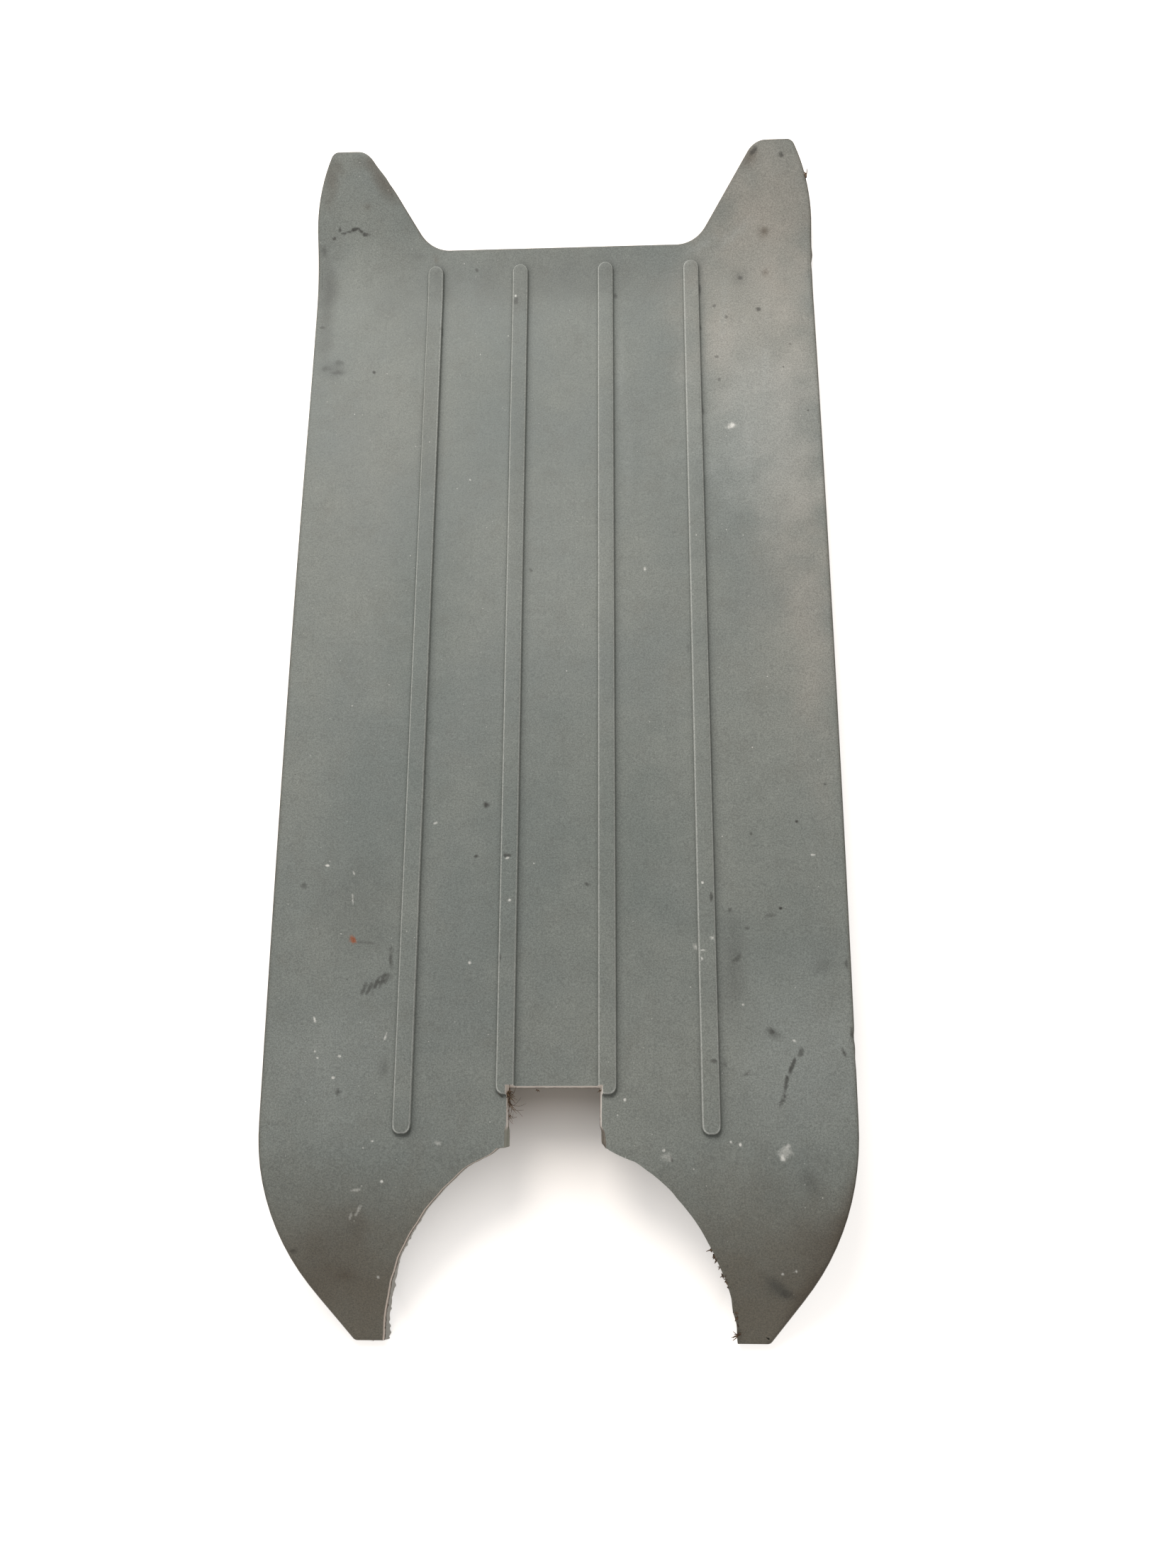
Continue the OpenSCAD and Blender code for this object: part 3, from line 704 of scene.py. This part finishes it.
def store_places(mesh, p):
    """Point values that tell the materials how near a rib, the notch or the moulded edge is."""
    nearest, side = np.full(len(p), FAR_GAP), np.zeros(len(p))
    for x, back in RIBS:
        along = np.clip(p[:, 1], back + RIB_W / 2, FRONT_Y - RIB_FRONT_GAP - RIB_W / 2)
        gap = np.hypot(p[:, 0] - x, p[:, 1] - along) - RIB_W / 2
        side = np.where(gap < nearest, np.clip((p[:, 0] - x) / RIB_W * 2, -1, 1), side)
        nearest = np.minimum(nearest, gap)
    store(mesh, "rib_gap", nearest)
    store(mesh, "rib_side", side)
    by_notch = np.abs(p[:, 0] + NOTCH_OFF) < NOTCH_HALF + 3
    past_mouth = smooth(p[:, 1], *MOUTH_END)
    store(mesh, "notch", past_mouth * by_notch)
    store(mesh, "mouth", smooth(p[:, 1], *MOUTH_START) * (1 - past_mouth) * by_notch)
    border = even_steps(mat_plan(0), LINE_STEP, mat_plan(0))
    tree = kdtree.KDTree(len(border))
    for i, (x, y) in enumerate(border):
        tree.insert((x, y, 0), i)
    tree.balance()
    store(mesh, "edge_gap", [tree.find((x, y, 0))[2] for x, y, _ in p])


def store_marks(mesh, p, height):
    """Painted stains and marks, on the top only."""
    colour, cover = paint(at_rest(p) / MM, blotches(p, STAIN_BLOTCH), blotches(p, MARK_BLOTCH))
    on_top = smooth(height, SHEET_T - 1.3, SHEET_T - 0.4)
    store(mesh, "cover", cover * on_top)
    tint = mesh.attributes.new("tint", "FLOAT_COLOR", "POINT")
    painted = np.c_[colour * on_top[:, None], np.ones(len(p))]
    tint.data.foreach_set("color", painted.astype(np.float32).ravel())


def build_mat(moulded, cut):
    """The whole mat at rest."""
    mesh = cut_moulding(moulded, cut)
    p = np.empty(len(mesh.vertices) * 3)
    mesh.vertices.foreach_get("co", p)
    p = p.reshape(-1, 3)
    height = height_of(p[:, 1], p[:, 2])
    store(mesh, "height", height)
    store_places(mesh, p)
    store_marks(mesh, p, height)

    # Soft unevenness of the old rubber, always downwards so that the mat keeps its size
    sag = np.array([
        0.16 * noise.noise(Vector((x / 46, y / 60, 1.7))) + 0.05 * noise.noise(Vector((x / 13, y / 17, 5.1)))
        - 0.2 for x, y, _ in p
    ])
    p[:, 2] += sag * smooth(height, 0.5, SHEET_T)
    mesh.vertices.foreach_set("co", at_rest(p).ravel())
    mesh.polygons.foreach_set("use_smooth", np.ones(len(mesh.polygons), bool))
    mesh.set_sharp_from_angle(angle=SHARP_EDGE)
    mesh.update()
    return show("mat", mesh)


# ---------------------------------------------------------------- materials

WHITE, BLACK = (1.0, 1.0, 1.0, 1.0), (0.0, 0.0, 0.0, 1.0)


class Graph:
    """Short ways to add shader nodes to one material."""

    def __init__(self, name):
        self.material = bpy.data.materials.new(name)
        self.material.use_nodes = True
        self.tree = self.material.node_tree
        self.tree.nodes.clear()

    def feed(self, socket, value):
        if isinstance(value, bpy.types.NodeSocket):
            self.tree.links.new(value, socket)
        else:
            socket.default_value = value

    def node(self, kind, inputs, **settings):
        made = self.tree.nodes.new(kind)
        for key, value in settings.items():
            setattr(made, key, value)
        for key, value in inputs.items():
            self.feed(made.inputs[key], value)
        return made

    def math(self, operation, a, b=0.0, clamp=False):
        return self.node("ShaderNodeMath", {0: a, 1: b}, operation=operation, use_clamp=clamp).outputs[0]

    def noise(self, vector, scale, detail=2.0, roughness=0.5):
        return self.node("ShaderNodeTexNoise", {
            "Vector": vector, "Scale": scale, "Detail": detail, "Roughness": roughness,
        }).outputs["Fac"]

    def band(self, value, low, high, to_low=0.0, to_high=1.0, kind="SMOOTHSTEP"):
        made = self.node("ShaderNodeMapRange", {
            "Value": value, "From Min": low, "From Max": high, "To Min": to_low, "To Max": to_high,
        }, interpolation_type=kind)
        return made.outputs["Result"]

    def blend(self, factor, a, b, kind="MIX"):
        made = self.node("ShaderNodeMix", {}, data_type="RGBA", blend_type=kind)
        self.feed(made.inputs[0], factor)
        self.feed(made.inputs[6], a)
        self.feed(made.inputs[7], b)
        return made.outputs[2]

    def attribute(self, name):
        return self.node("ShaderNodeAttribute", {}, attribute_name=name).outputs["Fac"]

    def place(self):
        """Place in the scene in millimetres."""
        return self.stretched(self.node("ShaderNodeNewGeometry", {}).outputs["Position"], (1 / MM,) * 3)

    def stretched(self, vector, scale):
        return self.node("ShaderNodeVectorMath", {0: vector, 1: scale}, operation="MULTIPLY").outputs[0]

    def finish(self, shader):
        out = self.node("ShaderNodeOutputMaterial", {})
        self.tree.links.new(shader, out.inputs["Surface"])
        return self.material


def specks(g, p, colour):
    """White and black specks in four sizes."""
    for scale, seed_shift, paint_colour, size, strength in (
        (0.13, (3, 1, 0), DUST, 0.055, 0.8), (0.27, (7, 2, 0), DUST, 0.08, 0.55),
        (0.16, (9, 4, 0), DIRT, 0.05, 0.7), (0.5, (5, 8, 0), DIRT, 0.12, 0.4),
    ):
        moved = g.node("ShaderNodeVectorMath", {0: p, 1: seed_shift}, operation="ADD").outputs[0]
        cell = g.node("ShaderNodeTexVoronoi", {"Vector": moved, "Scale": scale, "Randomness": 1.0})
        dot = g.band(cell.outputs["Distance"], size, size * 0.4)
        some = g.node("ShaderNodeSeparateXYZ", {"Vector": cell.outputs["Color"]}).outputs["X"]
        dot = g.math("MULTIPLY", dot, g.band(some, 0.5, 0.9))
        colour = g.blend(g.math("MULTIPLY", dot, strength), colour, paint_colour)
    return colour


def rib_shade_highlight_and_wear(g, colour, smudge):
    """Painted shade mixed with dirt at the feet of the ribs, wider and darker on their right, away from the
    light, and a painted highlight mixed with rubbed wear along their top edges, stronger on their lit left.
    """
    gap, side = g.attribute("rib_gap"), g.attribute("rib_side")
    # Painted shade with dirt at the rib feet: it reaches further and is darker on the right of each rib, away
    # from the light
    reach = g.band(side, -1.0, 1.0, 2.2, 4.6)
    foot_shade_and_dirt = g.math("SUBTRACT", 1.0, g.math("DIVIDE", g.math("MAXIMUM", gap, 0.0), reach), True)
    foot_shade_and_dirt = g.math("MULTIPLY", g.math("MULTIPLY", foot_shade_and_dirt, foot_shade_and_dirt), g.band(side, -1.0, 1.0, 0.46, 0.62))
    on_top = g.band(g.attribute("height"), SHEET_T - 1.0, SHEET_T - 0.4)
    foot_shade_and_dirt = g.math("MULTIPLY", foot_shade_and_dirt, g.math("MULTIPLY", on_top, g.math("GREATER_THAN", gap, -0.25)))
    colour = g.blend(foot_shade_and_dirt, colour, srgb(70, 73, 68))
    # Painted highlight along the top edges of the ribs, stronger on their lit left, mixed with pale rubbed
    # wear
    off_line = g.math("ABSOLUTE", g.math("ADD", gap, 0.3))
    edge_highlight_and_wear = g.math("MULTIPLY", g.band(off_line, 0.5, 0.1), g.band(side, -1.0, 1.0, 0.72, 0.5))
    edge_highlight_and_wear = g.math("MULTIPLY", g.math("MULTIPLY", edge_highlight_and_wear, on_top), g.band(smudge, 0.25, 0.5, 0.7, 1.0))
    return g.blend(edge_highlight_and_wear, colour, srgb(206, 206, 198))


def edge_darkening(g, colour, patches):
    """Darker, browner band and a dark brown line along the moulded edge."""
    edge = g.attribute("edge_gap")
    rim = g.band(g.math("ADD", edge, g.math("MULTIPLY", patches, 2.4)), 3.6, 0.8, 0.0, 0.4)
    colour = g.blend(rim, colour, srgb(86, 80, 68))
    return g.blend(g.band(edge, 0.9, 0.2, 0.0, 0.55), colour, srgb(70, 58, 44))


def rubber(name):
    """Old moulded rubber with its stains, specks, wear and grain, with painted shade at the rib feet and a
    painted highlight on the rib edges.
    """
    g = Graph(name)
    p = g.place()
    clouds = g.noise(p, 0.016, 3.0, 0.55)
    patches = g.noise(p, 0.09, 4.0, 0.6)
    smudge = g.noise(p, 0.45, 3.0, 0.6)
    grain = g.noise(p, 1.5, 2.0, 0.6)
    fine = g.noise(p, 4.0, 2.0, 0.7)
    streaks = g.noise(g.stretched(p, (0.55, 0.02, 0.3)), 1.0, 3.0, 0.6)

    colour = g.blend(g.band(clouds, 0.3, 0.7), srgb(124, 128, 122), srgb(137, 139, 131))
    colour = g.blend(g.band(patches, 0.35, 0.75, 0.0, 0.25), colour, srgb(116, 120, 115))
    colour = g.blend(g.band(streaks, 0.55, 0.8, 0.0, 0.22), colour, srgb(114, 117, 111))
    # Browner, darker tail
    y = g.node("ShaderNodeSeparateXYZ", {"Vector": p}).outputs["Y"]
    uneven = g.math("MULTIPLY", g.math("SUBTRACT", patches, 0.5), 0.6)
    tail = g.math("ADD", g.band(y, -195, -275), uneven, True)
    colour = g.blend(g.math("MULTIPLY", tail, 0.75), colour, srgb(122, 112, 95))

    colour = specks(g, p, colour)
    # Painted stains and marks: their colour is already multiplied by their cover
    tint = g.node("ShaderNodeAttribute", {}, attribute_name="tint").outputs["Color"]
    colour = g.blend(1.0, g.blend(g.attribute("cover"), colour, BLACK), tint, "ADD")
    # Rib feet get painted shade with dirt, rib edges a painted highlight with wear
    colour = edge_darkening(g, rib_shade_highlight_and_wear(g, colour, smudge), patches)

    speckle = g.math("ADD", g.math("MULTIPLY", grain, 0.5), g.math("MULTIPLY", fine, 0.5))
    speckle = g.blend(g.band(speckle, 0.34, 0.66), (0.72, 0.72, 0.72, 1), (1.3, 1.3, 1.3, 1))
    colour = g.blend(1.0, colour, speckle, "MULTIPLY")

    rough = g.math("ADD", g.math("MULTIPLY", grain, 0.5), g.math("MULTIPLY", clouds, 0.5))
    height = g.math("ADD", g.math("MULTIPLY", grain, 0.6), g.math("MULTIPLY", fine, 0.4))
    bump = g.node("ShaderNodeBump", {
        "Height": height, "Strength": 0.4, "Distance": 0.00015,
    }).outputs["Normal"]
    broad = g.node("ShaderNodeBump", {
        "Height": g.noise(p, 0.12, 3.0), "Strength": 0.25, "Distance": 0.0009, "Normal": bump,
    }).outputs["Normal"]
    shader = g.node("ShaderNodeBsdfPrincipled", {
        "Base Color": colour, "Roughness": g.band(rough, 0.3, 0.7, 0.56, 0.72), "Normal": broad,
        "IOR": 1.5, "Specular IOR Level": 0.5,
    })
    return g.finish(shader.outputs[0])


def cut_rubber(name):
    """Faces left by the knife: pale at the top, the pale core with a painted highlight, paler still in the
    notch as painted light; below it a brown line of painted shade; and a grey torn ledge at the foot, its
    grey lightened as painted light.
    """
    g = Graph(name)
    p = g.place()
    notch, mouth = g.attribute("notch"), g.attribute("mouth")
    uneven = g.math("MULTIPLY", g.math("SUBTRACT", g.noise(p, 0.5, 3.0, 0.6), 0.5), 1.4)
    level = g.math("ADD", g.attribute("height"), uneven)
    level = g.math("ADD", level, g.math("MULTIPLY", notch, 1.3))
    right = g.band(g.node("ShaderNodeSeparateXYZ", {"Vector": p}).outputs["X"], -1.0, 1.0)
    # Grey torn ledge, lightened as painted light, below a brown band of painted shade
    colour = g.blend(g.band(level, 1.15, 1.4), srgb(196, 194, 186), srgb(78, 62, 50))
    # Pale top of the cut: the pale core with a painted highlight
    colour = g.blend(g.band(level, 1.7, 2.3), colour, srgb(240, 226, 214))
    colour = g.blend(g.band(g.noise(p, 1.1, 4.0, 0.7), 0.55, 0.85, 0.0, 0.4), colour, srgb(140, 128, 116))
    # Paler still on the notch's steep walls: painted light
    colour = g.blend(g.math("MULTIPLY", notch, g.band(level, 2.0, 2.6)), colour, srgb(255, 246, 236))
    mouth_colour = g.blend(right, srgb(152, 152, 138), srgb(118, 110, 98))
    colour = g.blend(g.math("MULTIPLY", mouth, 0.9), colour, mouth_colour)
    drag = g.noise(g.stretched(p, (0.9, 0.9, 4.0)), 1.0, 4.0, 0.65)
    bump = g.node("ShaderNodeBump", {"Height": drag, "Strength": 0.6, "Distance": 0.0003}).outputs["Normal"]
    shader = g.node("ShaderNodeBsdfPrincipled", {
        "Base Color": colour, "Roughness": g.band(drag, 0.3, 0.7, 0.6, 0.85), "Normal": bump,
    })
    return g.finish(shader.outputs[0])


def fibre_material(name):
    """Brown fibre of the old backing."""
    g = Graph(name)
    p = g.place()
    colour = g.blend(g.band(g.noise(p, 1.5, 2.0), 0.35, 0.65), srgb(62, 44, 30), srgb(122, 98, 74))
    bump = g.node("ShaderNodeBump", {"Height": g.noise(p, 8.0, 2.0), "Strength": 0.4, "Distance": 0.00005})
    shader = g.node("ShaderNodeBsdfPrincipled", {
        "Base Color": colour, "Roughness": g.band(g.noise(p, 3.0), 0.3, 0.7, 0.6, 0.9),
        "Normal": bump.outputs["Normal"],
    })
    return g.finish(shader.outputs[0])


moulded_look = rubber("moulded_rubber")
cut_look = cut_rubber("cut_rubber")

mat = build_mat(moulded_look, cut_look)
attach(mat, "root")
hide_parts("footboard_mat")


# ---------------------------------------------------------------- loose fibres at the cut

FIBRE_SIDES, FIBRE_STEPS = 5, 10
SIDE_HINT = (0.31, 0.2, 0.93)  # any direction that no fibre runs along


def fibre(rng, place, way, length, spread, thick):
    """Rings of points of one thin curling tube, which gets thinner towards its end."""
    at = np.array(from_rest(*place)) + rng.normal(0, 0.25, 3)
    heading = np.array(way, float) + rng.normal(0, spread, 3)
    curl = rng.normal(0, 0.22, 3) * min(1, 4 * spread)
    reach = length * rng.uniform(0.45, 1.0) / FIBRE_STEPS
    points = []
    for k in range(FIBRE_STEPS + 1):
        heading = heading / np.linalg.norm(heading)
        side = np.cross(heading, SIDE_HINT)
        side /= np.linalg.norm(side)
        third = np.cross(heading, side)
        r = thick * (1 - 0.6 * k / FIBRE_STEPS)
        for t in np.arange(FIBRE_SIDES) * 2 * math.pi / FIBRE_SIDES:
            points.append(at + r * (side * math.cos(t) + third * math.sin(t)))
        at = at + heading * reach
        heading = heading + curl + rng.normal(0, 0.12, 3)
    return points


def fibres(name, roots, material, seed):
    """Loose fibres kept inside the CAD box. Each root is (place, way, length, spread, thickness, count)."""
    rng = np.random.default_rng(seed)
    points, faces = [], []
    for *root, count in roots:
        for _ in range(count):
            first = len(points)
            points += fibre(rng, *root)
            for k in range(FIBRE_STEPS):
                low, high = first + k * FIBRE_SIDES, first + (k + 1) * FIBRE_SIDES
                for a in range(FIBRE_SIDES):
                    b = (a + 1) % FIBRE_SIDES
                    faces.append((low + a, low + b, high + b, high + a))
            last = first + FIBRE_STEPS * FIBRE_SIDES
            faces.append(tuple(range(first + FIBRE_SIDES - 1, first - 1, -1)))
            faces.append(tuple(range(last, last + FIBRE_SIDES)))
    mesh = bpy.data.meshes.new(name)
    placed = np.clip(at_rest(np.array(points)), np.array(cad_low) + BOX_SKIN, np.array(cad_high) - BOX_SKIN)
    mesh.from_pydata(placed.tolist(), [], faces)
    mesh.polygons.foreach_set("use_smooth", np.ones(len(mesh.polygons), bool))
    return show(name, mesh, [material])


fibre_look = fibre_material("old_fibre")
LOOSE = [
    ("notch_tuft", 3, [
        ((-20.3, -180.0, 29.6), (0.5, -0.2, 0.1), 5.0, 0.5, 0.26, 8),
        ((-20.3, -181.0, 28.5), (0.35, -0.8, -0.2), 8.0, 0.35, 0.16, 12),
        ((-20.3, -184.0, 28.0), (0.25, -0.9, -0.1), 11.0, 0.25, 0.12, 10),
        ((-19.8, -190.0, 28.0), (0.35, -0.8, -0.1), 5.0, 0.4, 0.1, 6),
        ((-8.3, -179.3, 28.8), (0.2, -0.6, -0.2), 1.6, 0.5, 0.22, 4),
        ((19.0, -179.5, 29.0), (-0.3, -0.5, -0.2), 1.8, 0.5, 0.2, 4),
    ]),
    ("tip_threads", 5, [
        ((-77.5, -284.5, 3.6), (-0.7, -0.15, -0.3), 5.0, 0.25, 0.2, 5),
        ((77.4, -281.4, 6.6), (-1.0, -0.2, 0.15), 6.5, 0.05, 0.34, 4),
        ((76.8, -281.6, 5.6), (-0.6, -0.2, -0.3), 3.2, 0.5, 0.24, 4),
        ((86.0, -284.8, 3.0), (0.3, -0.4, -0.5), 2.2, 0.4, 0.18, 3),
    ]),
    ("cut_shreds", 9, [
        ((64.8, -244.1, 23.6), (0.1, -0.9, -0.2), 2.6, 0.4, 0.34, 8),
        ((65.9, -246.4, 22.8), (0.2, -0.9, -0.3), 2.8, 0.4, 0.4, 9),
        ((67.2, -248.6, 21.8), (0.1, -0.9, -0.3), 2.2, 0.4, 0.34, 7),
        ((68.5, -251.6, 20.5), (0.3, -0.9, -0.3), 2.0, 0.4, 0.26, 5),
        ((70.0, -254.8, 19.1), (0.2, -0.9, -0.3), 2.6, 0.4, 0.38, 8),
        ((71.2, -257.2, 18.0), (0.2, -0.9, -0.3), 2.6, 0.4, 0.4, 9),
        ((72.2, -260.4, 16.4), (0.4, -0.8, -0.3), 1.8, 0.4, 0.24, 4),
        ((75.2, -271.0, 11.0), (0.1, -0.9, -0.4), 2.4, 0.4, 0.32, 6),
        ((75.8, -273.6, 9.7), (0.1, -0.9, -0.4), 2.4, 0.4, 0.34, 7),
        ((76.4, -276.6, 8.3), (0.1, -0.9, -0.4), 2.0, 0.4, 0.26, 5),
        ((123.8, 267.8, 16.4), (-0.05, 1.0, 0.2), 5.0, 0.04, 0.4, 3),
    ]),
]
for piece_name, seed, roots in LOOSE:
    piece = fibres(piece_name, roots, fibre_look, seed)
    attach(piece, "root")


# ---------------------------------------------------------------- floor, light and camera

CAMERA_AT = (0.034713, -0.149397, 0.545415)
CAMERA_TURN = (11.244, 2.3374, -0.0541)
PHOTO_SIZE = (1659, 2212)
FOCAL_PIXELS = 1661
SENSOR = 36.0

SKY_LIGHT = 0.40
KEY_AT = Vector((-0.30, 0.95, 0.95))
KEY_SIZE = 0.7
KEY_POWER = 13

FLOOR_HALF = 4.0
FLOOR_GLOW = 0.66
# Ovals of the floor's glow in millimetres: centre y, half size across and along
SHADE_OVAL = (-150.0, 110.0, 125.0)
BAY_OVAL = (-294.0, 128.0, 100.0)


def floor_material():
    """Pale floor that shows white to the camera. The glow fades under the cut bay, which keeps its shadow."""
    g = Graph("pale_floor")
    p = g.place()
    tone = g.blend(g.band(g.noise(p, 0.02, 2.0), 0.3, 0.7), srgb(249, 237, 225), srgb(251, 240, 229))

    def far_from(y, half_x, half_y):
        local = g.node("ShaderNodeMapping", {
            "Vector": p, "Location": (0.0, y, 0.0), "Scale": (half_x, half_y, 10000.0),
        }, vector_type="TEXTURE").outputs[0]
        return g.node("ShaderNodeVectorMath", {0: local}, operation="LENGTH").outputs["Value"]

    outside = g.band(far_from(*SHADE_OVAL), 0.85, 1.25)
    in_bay = g.band(far_from(*BAY_OVAL), 1.1, 0.5, kind="LINEAR")
    path = g.node("ShaderNodeLightPath", {})
    seen = g.math("MAXIMUM", path.outputs["Is Camera Ray"], path.outputs["Is Glossy Ray"])
    seen = g.math("MAXIMUM", seen, path.outputs["Is Transmission Ray"])
    glow = g.math("MULTIPLY", g.math("MAXIMUM", in_bay, outside), FLOOR_GLOW)
    shader = g.node("ShaderNodeBsdfPrincipled", {
        "Base Color": tone, "Roughness": 0.9, "Specular IOR Level": 0.1,
        "Emission Color": WHITE, "Emission Strength": g.math("MULTIPLY", seen, glow),
    })
    return g.finish(shader.outputs[0])


floor_mesh = bpy.data.meshes.new("floor")
floor_mesh.from_pydata(
    [(x * FLOOR_HALF, y * FLOOR_HALF, 0) for x, y in ((-1, -1), (1, -1), (1, 1), (-1, 1))], [], [(0, 1, 2, 3)]
)
floor = show("floor", floor_mesh, [floor_material()])

world = bpy.data.worlds.new("soft_room")
world.use_nodes = True
sky = world.node_tree.nodes["Background"]
sky.inputs["Color"].default_value = WHITE
sky_path = world.node_tree.nodes.new("ShaderNodeLightPath")
sky_seen = world.node_tree.nodes.new("ShaderNodeMapRange")
world.node_tree.links.new(sky_path.outputs["Is Camera Ray"], sky_seen.inputs["Value"])
sky_seen.inputs["To Min"].default_value = SKY_LIGHT
world.node_tree.links.new(sky_seen.outputs["Result"], sky.inputs["Strength"])
bpy.context.scene.world = world

key_data = bpy.data.lights.new("key", "AREA")
key_data.shape = "DISK"
key_data.size = KEY_SIZE
key_data.energy = KEY_POWER
key = bpy.data.objects.new("key", key_data)
key.location = KEY_AT
key.rotation_euler = (-KEY_AT).to_track_quat("-Z", "Y").to_euler()
bpy.context.scene.collection.objects.link(key)

camera_data = bpy.data.cameras.new("camera")
camera_data.lens = FOCAL_PIXELS / max(PHOTO_SIZE) * SENSOR
camera_data.sensor_width = SENSOR
camera_data.clip_start = 0.01
camera = bpy.data.objects.new("camera", camera_data)
camera.location = CAMERA_AT
camera.rotation_euler = [math.radians(a) for a in CAMERA_TURN]
bpy.context.scene.collection.objects.link(camera)
bpy.context.scene.camera = camera

bpy.context.scene.view_settings.view_transform = "Standard"
